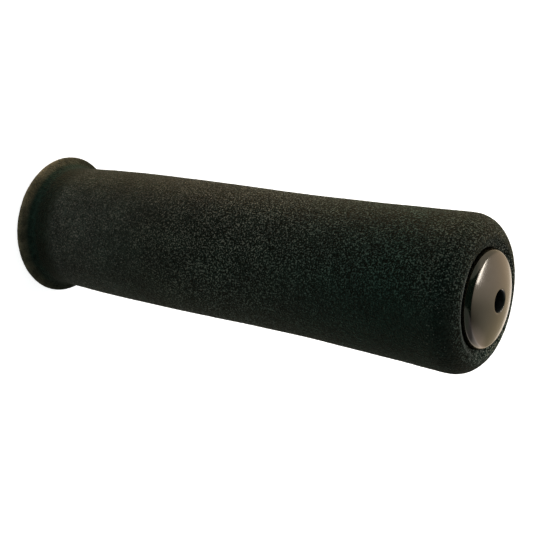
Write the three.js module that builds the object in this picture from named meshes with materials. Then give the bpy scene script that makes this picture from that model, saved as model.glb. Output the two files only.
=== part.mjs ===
// Bicycle handlebar grip: a moulded foam sleeve with a flange, and the domed plug in its outer end.
// Millimetres. +Z runs along the grip, from the flange's flat end face at z = 0 up to the plug.
// Both pieces are round about Z, so each is one closed outline of (radius, height) points, revolved.

import * as THREE from 'three';

// Handlebar that the grip is made for
const barDiameter = 22.2;
const barWall = 1.6;

// Foam sleeve, along the grip
const gripLength = 130;
const flangeThickness = 1.6;
const flangeFillet = 3.2;
const noseRounding = 6.0;
const lipRounding = 0.9;
const boreChamfer = 0.8;

// Foam sleeve, across the grip
const boreStretch = 1.1;
const flangeDiameter = 37.5;
const neckDiameter = 32.1;
const heelDiameter = 33.7;
const palmDiameter = 34.5;
const fingerDiameter = 34.6;
const noseDiameter = 37.3;

// Where the heel, palm and finger sizes lie, as shares of the way from the neck to the nose
const heelPlace = 0.14;
const palmPlace = 0.36;
const fingerPlace = 0.66;

// End plug
const capDiameter = 22.9;
const capInset = 0.9;
const capRimHeight = 1.5;
const shoulderRadius = 1.75;
const shoulderSlope = 22.3;
const holeDiameter = 5.1;
const holeEdge = 0.3;
const capWall = 2.2;
const barrelLength = 24;
const barrelWall = 1.2;
const barbCount = 4;
const barbHeight = 0.9;
const barbLength = 3.2;
const barbLand = 0.5;
const barbPitch = 5;
const barrelLead = 1.6;

// Clearances between the two pieces
const capClearance = 0.45;
const seatGap = 0.3;

// Facets around the axis
const facets = 60;

// Heights and radii that follow from the sizes above
const boreRadius = barDiameter / 2 - boreStretch;
const capRadius = capDiameter / 2;
const seatRadius = capRadius + capClearance;
const lipRadius = seatRadius + lipRounding;
const rimStart = gripLength - capInset;
const capUnderside = rimStart - capRimHeight;
const ledgeHeight = capUnderside - seatGap;
const barbRadius = barDiameter / 2 - barWall;
const barrelRadius = barbRadius - barbHeight;
const barrelBore = barrelRadius - barrelWall;
const barrelEnd = capUnderside - barrelLength;

function point(radius, height) {
  return new THREE.Vector2(radius, height);
}

// A round stretch of outline about a centre. Angles are in degrees, from straight outwards up to +Z,
// and the stretch is an ellipse where its two radii differ.
function arc(centreRadius, centreHeight, across, along, from, to, steps) {
  const points = [];
  for (let i = 0; i <= steps; i += 1) {
    const angle = THREE.MathUtils.degToRad(from + ((to - from) * i) / steps);
    points.push(point(centreRadius + across * Math.cos(angle), centreHeight + along * Math.sin(angle)));
  }
  return points;
}

function revolve(outline) {
  const geometry = new THREE.LatheGeometry([...outline, outline[0].clone()], facets);
  geometry.rotateX(Math.PI / 2);
  return geometry;
}

// The flange is a disc with a full round rim, and a hollow fillet takes it down to the neck
function flangeOutline() {
  const rim = flangeThickness / 2;
  const rimCentre = flangeDiameter / 2 - rim;
  const neckRadius = neckDiameter / 2;
  const filletTop = flangeThickness + flangeFillet;
  return [
    point(boreRadius + boreChamfer, 0),
    ...arc(rimCentre, rim, rim, rim, -90, 90, 8),
    ...arc(rimCentre, filletTop, rimCentre - neckRadius, flangeFillet, 270, 180, 6).slice(1),
  ];
}

// The hand's part widens from the neck to the palm, runs nearly level under the fingers and grows
// into the nose
function handOutline() {
  const start = flangeThickness + flangeFillet;
  const end = gripLength - noseRounding;
  const station = (diameter, place) => point(diameter / 2, start + (end - start) * place);
  const curve = new THREE.SplineCurve([
    station(neckDiameter, 0),
    station(heelDiameter, heelPlace),
    station(palmDiameter, palmPlace),
    station(fingerDiameter, fingerPlace),
    station(noseDiameter, 1),
  ]);
  return curve.getPoints(20).slice(1);
}

// The nose rounds over to a small lip, and the mouth behind it has a ledge that the cap seats on
function noseOutline() {
  const across = noseDiameter / 2 - lipRadius;
  const start = gripLength - noseRounding;
  return [
    ...arc(lipRadius, start, across, noseRounding, 0, 90, 10).slice(1),
    ...arc(lipRadius, gripLength - lipRounding, lipRounding, lipRounding, 90, 180, 4).slice(1),
    point(seatRadius, ledgeHeight),
    point(boreRadius, ledgeHeight),
    point(boreRadius, boreChamfer),
  ];
}

function foamSleeve() {
  const material = new THREE.MeshStandardMaterial({ color: 0x1b201c, roughness: 0.95, metalness: 0 });
  const mesh = new THREE.Mesh(revolve([...flangeOutline(), ...handOutline(), ...noseOutline()]), material);
  mesh.name = 'foam_sleeve';
  return mesh;
}

// Barbs round the barrel: each rises on a cone towards the cap, has a short land and drops square
function barbOutline() {
  const points = [];
  for (let i = 0; i < barbCount; i += 1) {
    const foot = barrelEnd + barrelLead + i * barbPitch;
    points.push(
      point(barrelRadius, foot),
      point(barbRadius, foot + barbLength - barbLand),
      point(barbRadius, foot + barbLength),
      point(barrelRadius, foot + barbLength),
    );
  }
  return points;
}

// The cap is a shallow dome that rolls over a shoulder into its rim, with a round hole in the middle
function capOutline() {
  const shoulderCentre = capRadius - shoulderRadius;
  const slope = THREE.MathUtils.degToRad(shoulderSlope);
  const domeEdge = shoulderCentre + shoulderRadius * Math.sin(slope);
  const domeRadius = domeEdge / Math.sin(slope);
  const domeCentre = rimStart + (shoulderRadius - domeRadius) * Math.cos(slope);
  const holeRadius = holeDiameter / 2;
  const edgeRadius = holeRadius + holeEdge;
  const edgeAngle = THREE.MathUtils.radToDeg(Math.acos(edgeRadius / domeRadius));
  const holeTop = domeCentre + domeRadius * Math.sin(Math.acos(edgeRadius / domeRadius));
  const roof = holeTop - capWall;
  return [
    point(barrelRadius, capUnderside),
    point(capRadius, capUnderside),
    ...arc(shoulderCentre, rimStart, shoulderRadius, shoulderRadius, 0, 90 - shoulderSlope, 6),
    ...arc(0, domeCentre, domeRadius, domeRadius, 90 - shoulderSlope, edgeAngle, 6).slice(1),
    point(holeRadius, holeTop - holeEdge),
    point(holeRadius, roof),
    point(barrelBore, roof),
    point(barrelBore, barrelEnd),
  ];
}

function endPlug() {
  const material = new THREE.MeshStandardMaterial({ color: 0x8a7d6e, roughness: 0.38, metalness: 0.9 });
  const outline = [point(barrelRadius, barrelEnd), ...barbOutline(), ...capOutline()];
  const mesh = new THREE.Mesh(revolve(outline), material);
  mesh.name = 'end_plug';
  return mesh;
}

const group = new THREE.Group();
group.add(foamSleeve(), endPlug());

export default group;
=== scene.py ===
import math

import bpy
import numpy as np
from mathutils import Matrix, Quaternion, Vector


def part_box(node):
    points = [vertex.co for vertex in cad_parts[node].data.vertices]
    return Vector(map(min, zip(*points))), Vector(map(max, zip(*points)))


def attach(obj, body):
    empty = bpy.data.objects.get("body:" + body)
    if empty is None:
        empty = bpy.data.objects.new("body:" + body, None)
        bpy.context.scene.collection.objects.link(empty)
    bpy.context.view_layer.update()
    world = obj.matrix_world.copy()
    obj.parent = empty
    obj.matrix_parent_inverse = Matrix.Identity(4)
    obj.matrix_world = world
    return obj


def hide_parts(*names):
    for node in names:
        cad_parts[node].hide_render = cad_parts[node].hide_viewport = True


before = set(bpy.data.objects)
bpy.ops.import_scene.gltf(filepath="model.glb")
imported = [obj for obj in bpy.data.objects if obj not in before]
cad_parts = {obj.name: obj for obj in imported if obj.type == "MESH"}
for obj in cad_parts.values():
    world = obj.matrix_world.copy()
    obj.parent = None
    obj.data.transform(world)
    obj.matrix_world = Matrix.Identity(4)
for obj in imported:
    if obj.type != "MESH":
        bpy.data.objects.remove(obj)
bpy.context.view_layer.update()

# Handlebar grip: a black foam sleeve and the domed metal-finished plug in its outer end.
# Metres, +Z along the grip from the flange up to the plug, as in the frame.


# Small tools

samePlace = 0.000001           # points closer than this are one point
sameHeight = 0.00001           # and points within this height of each other are on one ring


def startFresh():
    bpy.ops.object.select_all(action="DESELECT")


def applyModifier(piece, kind, **settings):
    # adds one modifier to the active piece, sets it and applies it
    bpy.ops.object.modifier_add(type=kind)
    modifier = piece.modifiers[-1]
    for name, value in settings.items():
        setattr(modifier, name, value)
    bpy.ops.object.modifier_apply(modifier=modifier.name)


def displace(piece, name, size, depth, **settings):
    # moves the surface in and out by a cloud texture
    cloud = bpy.data.textures.new(name, "CLOUDS")
    cloud.noise_scale = size
    for setting, value in settings.items():
        setattr(cloud, setting, value)
    applyModifier(piece, "DISPLACE", texture=cloud, texture_coords="LOCAL", strength=depth, mid_level=0.5)


def steps(low, high, step):
    # evenly spaced places from low to high, about one step apart
    count = max(1, round(abs(high - low) / step))
    return [low + (high - low) * i / count for i in range(count + 1)]


def arc(centre, across, along, start, end, count):
    # (radius, height) points of a round stretch, angles in degrees from straight outwards up to +Z
    points = []
    for i in range(count + 1):
        angle = math.radians(start + (end - start) * i / count)
        points.append((centre[0] + across * math.cos(angle), centre[1] + along * math.sin(angle)))
    return points


def ringUp(name, outline, around, sway):
    # starts from one circle and extrudes it ring by ring along a closed outline of (radius, height);
    # sway gives each ring's shift along Y
    startFresh()
    radius, height = outline[0]
    shift = sway(radius, height)
    bpy.ops.mesh.primitive_circle_add(vertices=around, radius=radius, location=(0, shift, height))
    piece = bpy.context.object
    piece.name = piece.data.name = name
    bpy.ops.object.transform_apply(location=True, rotation=True, scale=True)
    bpy.ops.object.mode_set(mode="EDIT")
    bpy.ops.mesh.select_all(action="SELECT")
    for nextRadius, nextHeight in outline[1:] + outline[:1]:
        nextShift = sway(nextRadius, nextHeight)
        step = (0, nextShift - shift, nextHeight - height)
        bpy.ops.mesh.extrude_edges_move(TRANSFORM_OT_translate={"value": step})
        grow = nextRadius / radius
        bpy.ops.transform.resize(value=(grow, grow, 1), center_override=(0, nextShift, nextHeight))
        radius, height, shift = nextRadius, nextHeight, nextShift
    # the last ring lands on the first, so the wall closes on itself
    bpy.ops.mesh.select_all(action="SELECT")
    bpy.ops.mesh.remove_doubles(threshold=samePlace)
    bpy.ops.mesh.normals_make_consistent(inside=False)
    bpy.ops.object.mode_set(mode="OBJECT")
    return piece


# Nodes are placed by short calls, so that a material reads from top to bottom

white = (1.0, 1.0, 1.0)


class Nodes:
    def __init__(self, owner, coordinates="Object", bend="SMOOTHSTEP"):
        # owner is a material or a world; bend is how a spread runs between its two ends
        owner.use_nodes = True
        self.tree = owner.node_tree
        self.bend = bend
        self.place = self.add("ShaderNodeTexCoord", {}).outputs[coordinates]

    def feed(self, socket, value):
        # an output is linked, a colour or a number is set on the socket itself
        if isinstance(value, bpy.types.NodeSocket):
            self.tree.links.new(value, socket)
        elif isinstance(value, tuple):
            socket.default_value = (*value, 1)
        else:
            socket.default_value = value

    def add(self, kind, inputs, **settings):
        node = self.tree.nodes.new(kind)
        for name, value in settings.items():
            setattr(node, name, value)
        for name, value in inputs.items():
            self.feed(node.inputs[name], value)
        return node

    def noise(self, scale, detail=2.0, rough=0.5):
        inputs = {"Vector": self.place, "Scale": scale, "Detail": detail, "Roughness": rough}
        return self.add("ShaderNodeTexNoise", inputs).outputs["Fac"]

    def cells(self, scale):
        # distance from the nearest cell's middle, and that cell's own random colour
        node = self.add("ShaderNodeTexVoronoi", {"Vector": self.place, "Scale": scale}, feature="F1")
        return node.outputs["Distance"], node.outputs["Color"]

    def split(self):
        # the place along X, Y and Z
        node = self.add("ShaderNodeSeparateXYZ", {0: self.place})
        return [node.outputs[axis] for axis in "XYZ"]

    def maths(self, how, first, second):
        return self.add("ShaderNodeMath", {0: first, 1: second}, operation=how).outputs[0]

    def times(self, first, *others):
        for other in others:
            first = self.maths("MULTIPLY", first, other)
        return first

    def highest(self, first, *others):
        for other in others:
            first = self.maths("MAXIMUM", first, other)
        return first

    def spread(self, source, low, high, toLow=0.0, toHigh=1.0):
        # takes low..high of the source to toLow..toHigh, held at the ends
        inputs = {"Value": source, "From Min": low, "From Max": high, "To Min": toLow, "To Max": toHigh}
        return self.add("ShaderNodeMapRange", inputs, interpolation_type=self.bend).outputs["Result"]

    def blend(self, share, first, second):
        inputs = {"Factor": share, 6: first, 7: second}
        return self.add("ShaderNodeMix", inputs, data_type="RGBA").outputs[2]

    def tint(self, first, second):
        # one colour multiplied by another
        inputs = {"Factor": 1.0, 6: first, 7: second}
        return self.add("ShaderNodeMix", inputs, data_type="RGBA", blend_type="MULTIPLY").outputs[2]

    def ramp(self, source, stops):
        node = self.add("ShaderNodeValToRGB", {"Fac": source})
        elements = node.color_ramp.elements
        while len(elements) < len(stops):
            elements.new(0.5)
        for element, (place, colour) in zip(elements, stops):
            element.position = place
            element.color = (*colour, 1)
        return node.outputs["Color"]

    def tintWhere(self, share, colour, tone):
        # tints the colour by the tone, as far as the share goes
        return self.tint(colour, self.ramp(share, ((0.0, white), (1.0, tone))))

    def bump(self, height, strength, distance, **under):
        inputs = {"Height": height, "Strength": strength, "Distance": distance, **under}
        return self.add("ShaderNodeBump", inputs).outputs["Normal"]

    def rays(self, *kinds):
        # 1 for rays of these kinds and 0 for all others
        path = self.add("ShaderNodeLightPath", {})
        return self.highest(*(path.outputs[kind] for kind in kinds))

    def finish(self, **values):
        # each value goes to the shader's input of its name
        shader = self.tree.nodes["Principled BSDF"]
        for name, value in values.items():
            self.feed(shader.inputs[name.replace("_", " ")], value)


# Foam sleeve

sleeve = {
    "boreRadius": 0.0100,
    "boreChamfer": 0.0008,
    "rimThickness": 0.0016,
    "rimRings": 7,
    "filletLength": 0.0032,
    "filletRings": 6,
    "mouthRadius": 0.01172,
    "mouthShift": 0.00034,     # the mouth sits a little to one side, with the plug in it
    "mouthWithin": 0.0140,     # rings within this radius and above this height shift with it
    "mouthAbove": 0.126,
    "ledgeDrop": 0.0027,       # from the nose's end down to the ledge under the cap,
    "mouthDrop": 0.00130,      # down to the mouth's edge, where the lip's slant ends,
    "crestDrop": 0.0002,       # and down to where the nose's rounding would end in full
    "noseRounding": 0.0060,
    "noseCentre": 0.01278,     # radius about which the nose rounds over
    "noseTurn": 81,            # degrees, up to the lip
    "noseRings": 8,
    "lipRings": (0.18, 0.50, 0.85, 1.0),   # one at each of these shares of the lip's slant
    "swell": 0.00002,          # makes up for what smoothing takes off the rings
    "bow": 0.00018,            # the sleeve bows a little between its ends
    "faceStep": 0.0022,        # between rings on the flange's face
    "handStep": 0.0020,        # and on the hand's part, before they are split in four
    "boreStep": 0.0250,
    "boreEnds": (0.003, 0.004),    # first ring above the flange's face, last ring below the ledge
    "ledgeCorner": 0.0004,     # cut off each of the ledge's two corners
    "around": 62,
    "grainSize": 0.0008,
    "grainDepth": 0.00011,
    "waveSize": 0.016,
    "waveDepth": 0.00022,
}


def outerRadius(node):
    # the CAD node's largest radius at each height, read from its corner points
    points = np.array([v.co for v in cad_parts[node].data.vertices])
    radii = np.hypot(points[:, 0], points[:, 1])
    heights = np.unique(points[:, 2].round(6))
    widest = [radii[abs(points[:, 2] - ring) < sameHeight].max() for ring in heights]
    return lambda height: float(np.interp(height, heights, widest))


def sleeveOutline():
    low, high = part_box("foam_sleeve")
    radiusAt = outerRadius("foam_sleeve")
    rim = sleeve["rimThickness"] / 2
    rimCentre = high.x - rim
    neckHeight = sleeve["rimThickness"] + sleeve["filletLength"]
    noseStart = high.z - sleeve["crestDrop"] - sleeve["noseRounding"]
    noseCentre = sleeve["noseCentre"]
    ledge = high.z - sleeve["ledgeDrop"]
    bore, chamfer = sleeve["boreRadius"], sleeve["boreChamfer"]
    corner = sleeve["ledgeCorner"]
    face = steps(bore + chamfer, rimCentre, sleeve["faceStep"])
    points = [(radius, low.z) for radius in face[:-1]]
    points += arc((rimCentre, low.z + rim), rim, rim, -90, 90, sleeve["rimRings"])
    filletDepth, filletLength = rimCentre - radiusAt(neckHeight), sleeve["filletLength"]
    points += arc((rimCentre, neckHeight), filletDepth, filletLength, 270, 180, sleeve["filletRings"])[1:]
    hand = steps(neckHeight, noseStart, sleeve["handStep"])[1:]
    points += [(radiusAt(height) + sleeve["swell"], height) for height in hand]
    noseDepth = radiusAt(noseStart) + sleeve["swell"] - noseCentre
    points += arc((noseCentre, noseStart), noseDepth, sleeve["noseRounding"],
                  0, sleeve["noseTurn"], sleeve["noseRings"])[1:]
    # the lip slants down from the nose to the mouth's edge
    lipRadius, lipHeight = points[-1]
    mouth, edge = sleeve["mouthRadius"], high.z - sleeve["mouthDrop"]
    for share in sleeve["lipRings"]:
        points.append((lipRadius + (mouth - lipRadius) * share, lipHeight + (edge - lipHeight) * share))
    points += [(mouth, ledge + corner), (mouth - corner, ledge)]
    points += [(bore + corner, ledge), (bore, ledge - corner)]
    aboveFace, belowLedge = sleeve["boreEnds"]
    boreRings = steps(ledge - belowLedge, low.z + aboveFace, sleeve["boreStep"])
    points += [(bore, height) for height in boreRings]
    points += [(bore, low.z + chamfer)]
    return points


foamLook = {
    # colours from the bottom of a cell to the top of its wall, by the height of the grain
    "grain": ((0.39, (0.0002, 0.0015, 0.0011)), (0.49, (0.0050, 0.0110, 0.0090)),
              (0.57, (0.0240, 0.0312, 0.0262)), (0.66, (0.1230, 0.1120, 0.0940))),
    # the same, coarser and fainter, where the grain is calmer
    "calm": ((0.34, (0.0066, 0.0094, 0.0076)), (0.66, (0.0170, 0.0215, 0.0176))),
    "patches": ((0.35, (0.78, 0.78, 0.80)), (0.65, (1.20, 1.20, 1.18))),
    # tint along the grip, by share of its length, as painted light and shade: brown painted light at the
    # flange's rim, painted shade darkening the smooth fillet, paler painted light on the hand part, then
    # greener and darker painted shade to the nose
    "along": ((0.000, (1.60, 1.45, 1.15)), (0.011, (1.60, 1.45, 1.15)), (0.020, (0.60, 1.15, 1.05)),
              (0.031, (0.52, 1.08, 1.02)), (0.040, (0.24, 0.52, 0.50)), (0.055, (0.32, 0.62, 0.58)),
              (0.085, (1.50, 1.50, 1.44)), (0.200, (1.46, 1.42, 1.34)), (0.360, (1.13, 1.10, 1.07)),
              (0.600, (0.90, 1.00, 0.98)), (0.880, (0.45, 0.77, 0.73)), (0.960, (0.68, 0.84, 0.80))),
    "cool": (0.68, 1.00, 1.00),            # tint of the shaded underside
    "heel": (1.42, 1.38, 1.52),            # painted light: a tint that lightens the underside near the flange
    "litFront": (3.30, 2.65, 2.70),           # painted light: a tint that lightens the nose's front, round the cap
    # painted light: a warm lit band along the flange's rim
    "rim": (0.200, 0.168, 0.108),
    "speck": (0.165, 0.150, 0.130),
    # pale specks on the nose's front, brightened there as painted light
    "noseSpeck": (0.420, 0.410, 0.350),
    # painted light: a pale lit band at one side of the lip
    "lip": (0.120, 0.130, 0.118),
    # scale, detail and roughness of each noise
    "grainNoise": (2500, 1.0),
    "calmNoise": (1000, 1.5),
    "patchNoise": (130, 2.0, 0.6),
    "rimNoise": (240, 3.0, 0.6),
    "fineNoise": (5200, 1.0),
    "speckScale": 2200,
    "speckCore": (0.10, 0.42, 1.0, 0.0),   # how a speck fades from its middle
    "frontSpecks": (0.0, 0.8, 0.22, 0.95),     # how the specks grow stronger where the nose's front is painted lighter
    "rough": (0.3, 0.7, 0.98, 0.80),       # roughness, by the height of the grain
    "bumpDepth": 0.00040,
    "fineBump": (0.35, 0.00012),
    "specular": 0.03,
    "sheen": 0.07,
    "sheenRough": 0.55,
    "sheenTint": (1.0, 0.80, 0.52),
}

foamZones = {
    # where each look lies: rows of direction, low end, high end and the share at each end, which is
    # 0 and 1 where none is given; a zone is its rows multiplied
    "nose": (("radius", 0.0150, 0.0170, 1.0, 0.0), ("height", 0.119, 0.122)),
    "calmFlange": (("height", 0.009, 0.014, 1.0, 0.0),),
    "calmHeel": (("height", 0.030, 0.068, 0.70, 0.0),),
    "calmUnder": (("below", -0.004, 0.010, 0.15, 1.0),),
    "calmUnderHand": (("height", 0.060, 0.100, 0.0, 0.68),),
    "calmUnderNose": (("height", 0.098, 0.116, 0.0, 0.20),),
    "specks": (("cell", 0.70, 0.88), ("height", 0.020, 0.045), ("height", 0.100, 0.118, 1.0, 0.25)),
    "cool": (("height", 0.1255, 0.1285, 1.0, 0.3), ("below", -0.012, 0.006)),
    "coolHand": (("height", 0.018, 0.035, 0.0, 0.45),),
    "coolNose": (("height", 0.078, 0.110, 0.0, 0.55),),
    "heel": (("below", -0.014, -0.002), ("height", 0.022, 0.046, 1.0, 0.0), ("height", 0.007, 0.011)),
    # painted light on the nose's front round the cap, and on the lip's slant
    "litFront": (("radius", 0.0140, 0.0170, 1.0, 0.0), ("height", 0.1272, 0.1284),
              ("side", -0.002, 0.011, 1.0, 0.15)),
    "frontBelow": (("below", -0.014, 0.004, 0.22, 1.0),),
    "frontSlant": (("radius", 0.0126, 0.0136, 1.0, 0.0),),
    "noseSpecks": (("cell", 0.70, 0.82), ("height", 0.118, 0.124)),
    # painted light at one side of the lip
    "lip": (("radius", 0.0128, 0.0133), ("radius", 0.0137, 0.0144, 1.0, 0.0), ("side", 0.002, 0.010),
            ("below", -0.010, 0.000), ("height", 0.1280, 0.1285), ("grain", 0.35, 0.60, 0.45, 1.0)),
    # painted light on the flange's rim, on the side towards +X, mottled
    "rim": (("height", 0.0002, 0.0027, 1.0, 0.0), ("side", -0.006, 0.014),
            ("rimMottle", 0.36, 0.60, 0.40, 1.08)),
}


def foamMaterial():
    material = bpy.data.materials.new("closedCellFoam")
    make = Nodes(material)
    side, below, height = make.split()
    across = make.maths("ADD", make.maths("POWER", side, 2), make.maths("POWER", below, 2))
    grain = make.noise(*foamLook["grainNoise"])
    distance, cell = make.cells(foamLook["speckScale"])
    near = make.spread(distance, *foamLook["speckCore"])
    ways = {"side": side, "below": below, "height": height, "radius": make.maths("POWER", across, 0.5),
            "grain": grain, "cell": cell, "rimMottle": make.noise(*foamLook["rimNoise"])}

    def zone(name):
        return make.times(*(make.spread(ways[way], *span) for way, *span in foamZones[name]))

    colour = make.ramp(grain, foamLook["grain"])
    # the grain is calmer, coarser and fainter, by the flange and on the underside, apart from the nose
    calm = make.times(make.maths("ADD", zone("calmUnderHand"), zone("calmUnderNose")), zone("calmUnder"))
    calm = make.highest(calm, zone("calmHeel"), zone("calmFlange"))
    calm = make.times(calm, make.maths("SUBTRACT", 1.0, zone("nose")))
    colour = make.blend(calm, colour, make.ramp(make.noise(*foamLook["calmNoise"]), foamLook["calm"]))
    colour = make.tint(colour, make.ramp(make.noise(*foamLook["patchNoise"]), foamLook["patches"]))
    # a few cells carry a pale speck at their middle
    colour = make.blend(make.times(near, zone("specks")), colour, foamLook["speck"])
    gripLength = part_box("foam_sleeve")[1].z
    # painted light and shade along the grip
    colour = make.tint(colour, make.ramp(make.times(height, 1 / gripLength), foamLook["along"]))
    cool = make.times(make.maths("ADD", zone("coolHand"), zone("coolNose")), zone("cool"))
    colour = make.tintWhere(cool, colour, foamLook["cool"])
    # painted light: the underside is made lighter near the flange
    colour = make.tintWhere(zone("heel"), colour, foamLook["heel"])
    # painted light: the nose's front round the cap, and the lip's slant, are made lighter
    litFront = make.times(zone("litFront"), make.highest(zone("frontBelow"), zone("frontSlant")))
    colour = make.tintWhere(litFront, colour, foamLook["litFront"])
    # pale specks on the nose, brightened as painted light, most where the front is painted lighter
    noseSpecks = make.times(zone("noseSpecks"), near, make.spread(litFront, *foamLook["frontSpecks"]))
    colour = make.blend(noseSpecks, colour, foamLook["noseSpeck"])
    # painted light: a pale lit band at one side of the lip, and a warm lit band along the flange's rim
    colour = make.blend(zone("lip"), colour, foamLook["lip"])
    colour = make.blend(zone("rim"), colour, foamLook["rim"])
    coarse = make.bump(grain, 1.0, foamLook["bumpDepth"])
    fine = make.bump(make.noise(*foamLook["fineNoise"]), *foamLook["fineBump"], Normal=coarse)
    make.finish(Base_Color=colour, Roughness=make.spread(grain, *foamLook["rough"]), Normal=fine,
                Metallic=0.0, Specular_IOR_Level=foamLook["specular"], Sheen_Weight=foamLook["sheen"],
                Sheen_Roughness=foamLook["sheenRough"], Sheen_Tint=foamLook["sheenTint"])
    return material


def buildSleeve():
    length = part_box("foam_sleeve")[1].z

    def sway(radius, height):
        if height > sleeve["mouthAbove"] and radius < sleeve["mouthWithin"]:
            return sleeve["mouthShift"]
        return -sleeve["bow"] * math.sin(math.pi * height / length)

    piece = ringUp("foamSleeve", sleeveOutline(), sleeve["around"], sway)
    applyModifier(piece, "SUBSURF", levels=2, render_levels=2)
    bpy.ops.object.shade_smooth()
    displace(piece, "foamWave", sleeve["waveSize"], sleeve["waveDepth"])
    displace(piece, "foamGrain", sleeve["grainSize"], sleeve["grainDepth"], noise_depth=1)
    piece.data.materials.append(foamMaterial())
    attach(piece, "root")
    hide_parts("foam_sleeve")
    print("foam sleeve:", len(piece.data.polygons), "faces")


# End plug

plug = {
    "rimHeight": 0.0015,
    "shoulderRadius": 0.00175,
    "shoulderSlope": 22.3,     # degrees, where the shoulder meets the dome
    "shoulderRings": 12,
    "domeRings": 14,
    "holeRadius": 0.00255,
    "holeEdge": 0.0003,
    "capWall": 0.0022,
    "barbRadius": 0.0095,
    "barrelRadius": 0.0086,
    "barrelWall": 0.0012,
    "barbCount": 4,
    "barbLength": 0.0032,
    "barbLand": 0.0005,
    "barbPitch": 0.005,
    "barrelLead": 0.0016,
    "bevelWidth": 0.00015,
    "bevelSegments": 3,
    "bevelAngle": 28,          # degrees, every edge sharper than this is bevelled
    "smoothAngle": 35,
    "spread": 0.00010,         # the finish makes the cap a little wider
    "offCentre": 0.00036,      # pressed in a little to one side
    "around": 180,
    # the finish begins this far outside the hole and covers what faces upwards by more than the tilt,
    # and all of the rim's outermost band
    "finishInset": 0.00008,
    "finishTilt": 0.3,
    "finishBand": 0.0004,
}


def plugOutline():
    # outline of the turned plug, and the height of the cap's underside
    low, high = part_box("end_plug")
    shoulder = plug["shoulderRadius"]
    slope = math.radians(plug["shoulderSlope"])
    capRadius = high.x + plug["spread"]
    shoulderCentre = capRadius - shoulder
    domeRadius = (shoulderCentre + shoulder * math.sin(slope)) / math.sin(slope)
    hole, edge = plug["holeRadius"], plug["holeEdge"]
    edgeAngle = math.acos((hole + edge) / domeRadius)
    domeCentre = high.z - domeRadius * math.sin(edgeAngle)
    rimTop = domeCentre - (shoulder - domeRadius) * math.cos(slope)
    roof = high.z - plug["capWall"]
    underside = rimTop - plug["rimHeight"]
    barrel, inner = plug["barrelRadius"], plug["barrelRadius"] - plug["barrelWall"]
    points = [(barrel, low.z)]
    for i in range(plug["barbCount"]):
        foot = low.z + plug["barrelLead"] + i * plug["barbPitch"]
        tip = foot + plug["barbLength"]
        points += [(barrel, foot), (plug["barbRadius"], tip - plug["barbLand"]),
                   (plug["barbRadius"], tip), (barrel, tip)]
    points += [(barrel, underside), (capRadius, underside)]
    flat = 90 - plug["shoulderSlope"]
    points += arc((shoulderCentre, rimTop), shoulder, shoulder, 0, flat, plug["shoulderRings"])
    dome = arc((0, domeCentre), domeRadius, domeRadius, flat, math.degrees(edgeAngle), plug["domeRings"])
    points += dome[1:]
    points += [(hole, high.z - edge), (hole, roof), (inner, roof), (inner, low.z)]
    return points, underside


metalLook = {
    "face": (0.146, 0.123, 0.096),
    "shade": (0.134, 0.112, 0.087),
    "edgeTint": (1.0, 0.86, 0.70),
    "cloudNoise": (240, 3.0),
    "cloudSpan": (0.3, 0.7),
    "rough": (0.140, 0.155),
    "scratchNoise": (3800, 2.0, 0.6),
    "scratchBump": (0.005, 0.000005),
}


def metalMaterial():
    material = bpy.data.materials.new("satinPlugFinish")
    make = Nodes(material)
    cloud = make.noise(*metalLook["cloudNoise"])
    scratch = make.noise(*metalLook["scratchNoise"])
    share = make.spread(cloud, *metalLook["cloudSpan"])
    make.finish(Base_Color=make.blend(share, metalLook["shade"], metalLook["face"]),
                Roughness=make.spread(cloud, *metalLook["cloudSpan"], *metalLook["rough"]),
                Normal=make.bump(scratch, *metalLook["scratchBump"]),
                Metallic=1.0, Specular_Tint=metalLook["edgeTint"])
    return material


coreLook = {
    "face": (0.012, 0.013, 0.012),
    "shade": (0.006, 0.007, 0.006),
    "mottleNoise": (900, 2.0),
    "mottleSpan": (0.35, 0.65),
    "rough": (0.3, 0.7, 0.62, 0.50),       # roughness, by the mottle
    "bump": (0.15, 0.00004),
    "specular": 0.4,
}


def coreMaterial():
    material = bpy.data.materials.new("plugCore")
    make = Nodes(material)
    mottle = make.noise(*coreLook["mottleNoise"])
    share = make.spread(mottle, *coreLook["mottleSpan"])
    make.finish(Base_Color=make.blend(share, coreLook["shade"], coreLook["face"]),
                Roughness=make.spread(mottle, *coreLook["rough"]),
                Normal=make.bump(mottle, *coreLook["bump"]),
                Metallic=0.0, Specular_IOR_Level=coreLook["specular"])
    return material


def buildPlug():
    outline, underside = plugOutline()
    rimRadius = max(radius for radius, height in outline)
    piece = ringUp("endPlug", outline, plug["around"], lambda radius, height: plug["offCentre"])
    applyModifier(piece, "BEVEL", width=plug["bevelWidth"], segments=plug["bevelSegments"],
                  limit_method="ANGLE", angle_limit=math.radians(plug["bevelAngle"]))
    bpy.ops.object.shade_smooth_by_angle(angle=math.radians(plug["smoothAngle"]))
    piece.data.materials.append(metalMaterial())
    piece.data.materials.append(coreMaterial())
    # the finish covers the cap's outside; the hole, the hollow and the barrel show the black core
    for face in piece.data.polygons:
        radius = math.hypot(face.center.x, face.center.y - plug["offCentre"])
        above = face.center.z > underside and radius > plug["holeRadius"] + plug["finishInset"]
        outside = face.normal.z > plug["finishTilt"] or radius > rimRadius - plug["finishBand"]
        face.material_index = 0 if above and outside else 1
    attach(piece, "root")
    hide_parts("end_plug")
    print("end plug:", len(piece.data.polygons), "faces")


# Studio: camera, white floor, a surround that is darker behind the camera, dark card and soft lamps

camera = {
    "place": (0.26722, 0.0, 0.24654),
    "aim": (0.0, 0.00189, 0.06941),
    "roll": 100.15,            # degrees, so that the grip lies across the picture
    "lens": 86.45,
    "clipStart": 0.01,
}


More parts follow.
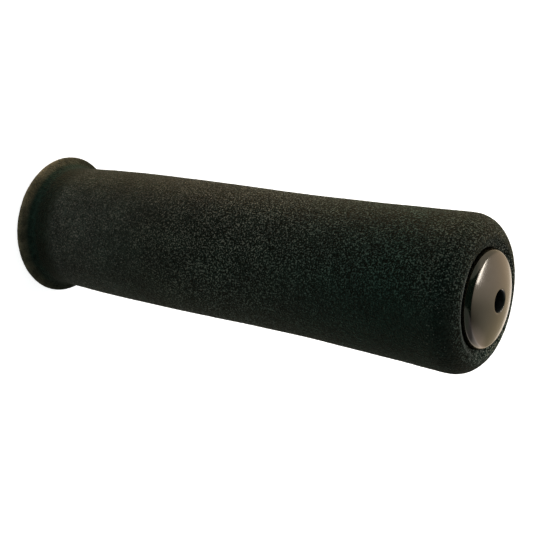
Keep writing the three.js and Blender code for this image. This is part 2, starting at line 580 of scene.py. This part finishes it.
def buildCamera():
    place, aim = Vector(camera["place"]), Vector(camera["aim"])
    startFresh()
    bpy.ops.object.camera_add(location=place)
    eye = bpy.context.object
    eye.rotation_mode = "QUATERNION"
    roll = Quaternion((0, 0, 1), math.radians(camera["roll"]))
    eye.rotation_quaternion = (aim - place).to_track_quat("-Z", "Y") @ roll
    eye.data.lens = camera["lens"]
    eye.data.clip_start = camera["clipStart"]
    bpy.context.scene.camera = eye


floor = {
    "size": 6.0,
    "height": -0.0003,         # clear of the flange's face
    "colour": (0.80, 0.80, 0.80),
    "glow": 0.86,
}


def buildFloor():
    startFresh()
    bpy.ops.mesh.primitive_plane_add(size=floor["size"], location=(0, 0, floor["height"]))
    piece = bpy.context.object
    piece.name = "floor"
    material = bpy.data.materials.new("whiteFloor")
    make = Nodes(material)
    make.tree.nodes.remove(make.tree.nodes["Principled BSDF"])
    seen = make.rays("Is Camera Ray", "Is Transmission Ray", "Is Glossy Ray")
    matt = make.add("ShaderNodeBsdfDiffuse", {"Color": floor["colour"]})
    glow = make.add("ShaderNodeEmission", {"Strength": make.times(seen, floor["glow"])})
    both = make.add("ShaderNodeAddShader", {0: matt.outputs[0], 1: glow.outputs[0]})
    make.feed(make.tree.nodes["Material Output"].inputs["Surface"], both.outputs[0])
    piece.data.materials.append(material)


surround = {
    # what lights the foam: colours towards -Y and +Y, and the places along Y where they are reached
    "levelHigh": (1.20, 1.20, 1.16),
    "levelLow": (0.038, 0.116, 0.118),
    "levelSpan": (-0.8, 0.8),
    "zenith": (0.22, 0.22, 0.22),      # share of the level straight above
    "zenithSpan": (0.20, 0.95),        # along Z
    # what the metal sees of the room, from the -Y side to the +Y side
    "room": ((0.00, (0.55, 0.57, 0.54)), (0.23, (0.55, 0.57, 0.54)), (0.32, (0.88, 0.87, 0.86)),
             (0.42, (0.86, 0.85, 0.84)), (0.50, (0.74, 0.75, 0.72)), (0.55, (0.60, 0.62, 0.58)),
             (0.64, (0.51, 0.54, 0.50)), (0.70, (1.16, 1.14, 1.22)), (0.74, (1.70, 1.80, 2.15)),
             (0.80, (1.30, 1.40, 1.60))),
    "roomSpan": (-1.0, 1.0),           # along Y
    "shadeSpanZ": (-0.05, 0.15),       # along Z, so that the two shades below begin above the floor
    "farShade": 0.86,                  # how far the room dims on the far side of the lower edge
    "farSpanY": (-0.05, 0.28),
    "farSpanX": (-0.85, -0.35),
    "backShade": 0.85,                 # how far it takes the colour below, behind the camera
    "backSpanX": (-0.05, 0.30),
    "backColour": (0.15, 0.21, 0.20),
}


def buildSurround():
    world = bpy.data.worlds.new("studio")
    bpy.context.scene.world = world
    make = Nodes(world, "Generated", "LINEAR")
    x, y, z = make.split()
    # the light is lower towards +Y, the picture's lower edge
    level = make.blend(make.spread(y, *surround["levelSpan"]), surround["levelHigh"], surround["levelLow"])
    zenith = make.blend(make.spread(z, *surround["zenithSpan"]), white, surround["zenith"])
    level = make.tint(level, zenith)
    # metal sees a room that is dim towards +X
    room = make.ramp(make.spread(y, *surround["roomSpan"]), surround["room"])
    up = make.spread(z, *surround["shadeSpanZ"])
    far = make.times(make.spread(y, *surround["farSpanY"]), make.spread(x, *surround["farSpanX"]),
                     up, surround["farShade"])
    room = make.blend(far, room, (0.0, 0.0, 0.0))
    back = make.times(make.spread(x, *surround["backSpanX"]), up, surround["backShade"])
    room = make.blend(back, room, surround["backColour"])
    colour = make.blend(make.rays("Is Glossy Ray"), level, room)
    colour = make.blend(make.rays("Is Camera Ray", "Is Transmission Ray"), colour, white)
    background = make.tree.nodes["Background"]
    make.feed(background.inputs["Color"], colour)
    make.feed(background.inputs["Strength"], 1.0)


card = {
    # bent round the cap and seen only in the metal
    "reach": 0.50,
    "ends": (-14, 104),                # degrees from straight above
    "sides": (-0.35, 0.225),           # along Y
    "facets": 72,
    "colour": (0.006, 0.028, 0.024),
}


def buildCard():
    low, high = card["sides"]
    centre = Vector((0, 0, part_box("end_plug")[1].z))
    startFresh()
    bpy.ops.mesh.primitive_cylinder_add(vertices=card["facets"], radius=card["reach"], depth=high - low,
                                        end_fill_type="NOTHING", rotation=(math.pi / 2, 0, 0),
                                        location=centre + Vector((0, (low + high) / 2, 0)))
    piece = bpy.context.object
    piece.name = "darkCard"
    bpy.ops.object.transform_apply(location=True, rotation=True, scale=True)
    bpy.ops.object.mode_set(mode="EDIT")
    # only the stretch between its two ends is kept
    for degrees, inner in zip(card["ends"], (True, False)):
        angle = math.radians(degrees)
        bpy.ops.mesh.select_all(action="SELECT")
        bpy.ops.mesh.bisect(plane_co=centre, plane_no=(math.cos(angle), 0, -math.sin(angle)),
                            clear_inner=inner, clear_outer=not inner)
    bpy.ops.object.mode_set(mode="OBJECT")
    material = bpy.data.materials.new("blackCard")
    Nodes(material).finish(Base_Color=card["colour"], Roughness=1.0)
    piece.data.materials.append(material)
    piece.visible_camera = piece.visible_diffuse = piece.visible_shadow = False


lamps = {
    # name: place, where it points, long way of its strip, length and width, watts, colour, seen in metal
    "rimAbove": ((-0.38, -0.58, 0.10), (0, 0, 0.06), (0, 0, 1), (0.40, 0.25), 6.0, (1.0, 0.76, 0.48), False),
    "keyNose": ((-0.37, -0.21, 0.69), (0, 0, 0.13), (0.62, 0.48, 0.62), (0.25, 0.25), 0.9,
                (1.0, 1.0, 0.94), False),
    "glint": ((-0.35, -0.231, 0.6926), (0, 0, 0.1326), (0.22, 0.32, 0.27), (0.31, 0.042), 0.54,
              (0.90, 0.98, 1.10), True),
}


def buildLamps():
    for name, (place, target, longWay, size, watts, colour, inMetal) in lamps.items():
        back = (Vector(place) - Vector(target)).normalized()
        side = (Vector(longWay) - back * back.dot(Vector(longWay))).normalized()
        startFresh()
        bpy.ops.object.light_add(type="AREA", location=place)
        lamp = bpy.context.object
        lamp.name = name
        lamp.data.shape = "RECTANGLE"
        lamp.data.size, lamp.data.size_y = size
        lamp.data.energy = watts
        lamp.data.color = colour
        lamp.visible_glossy = inMetal
        lamp.rotation_euler = Matrix((side, back.cross(side), back)).transposed().to_euler()


buildCamera()
buildSleeve()
buildPlug()
buildFloor()
buildCard()
buildSurround()
buildLamps()
bpy.context.scene.view_settings.view_transform = "Standard"
print("studio ready")
